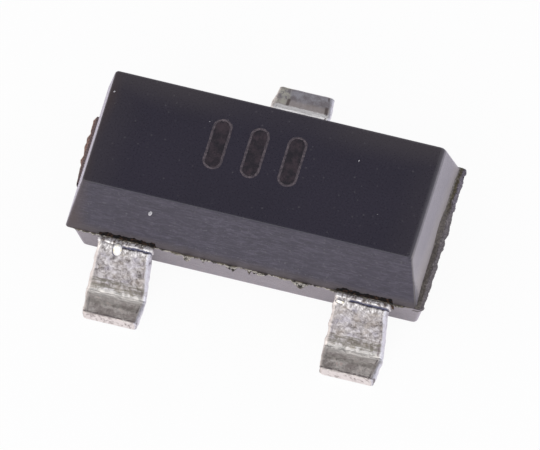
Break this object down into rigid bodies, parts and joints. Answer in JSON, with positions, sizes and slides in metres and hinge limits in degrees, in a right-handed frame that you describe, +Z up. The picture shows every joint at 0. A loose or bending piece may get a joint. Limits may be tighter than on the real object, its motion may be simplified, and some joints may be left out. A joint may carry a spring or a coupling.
{
  "type": "sot-23 transistor",
  "caption": "Small-signal transistor in a moulded black epoxy body with gull-wing leads for surface mounting, holding a chip on a lead-frame pad and its bond wires.",
  "frame": {"origin": "on the board plane, midway between the tips of the leads and centred on the body", "axes": "+X along the body's length to the emitter lead's end, -Y to the side with two leads, +Z up from the board"},
  "size_m": [0.0029, 0.0024, 0.001],
  "materials": {
    "black_epoxy": "fine matte moulded epoxy with a faint grain",
    "matte_tin": "matte tin plating, mottled, with rub marks at the bends",
    "silicon": "polished silicon with sawn sides",
    "silver_glue": "silver-filled glue, matte",
    "gold_wire": "drawn gold wire"
  },
  "bodies": {
    "root": {"mould_body": "black_epoxy", "base_lead": "matte_tin", "emitter_lead": "matte_tin", "collector_lead": "matte_tin", "silicon_chip": "silicon", "die_attach": "silver_glue", "base_bond_wire": "gold_wire", "emitter_bond_wire": "gold_wire"}
  },
  "joints": []
}
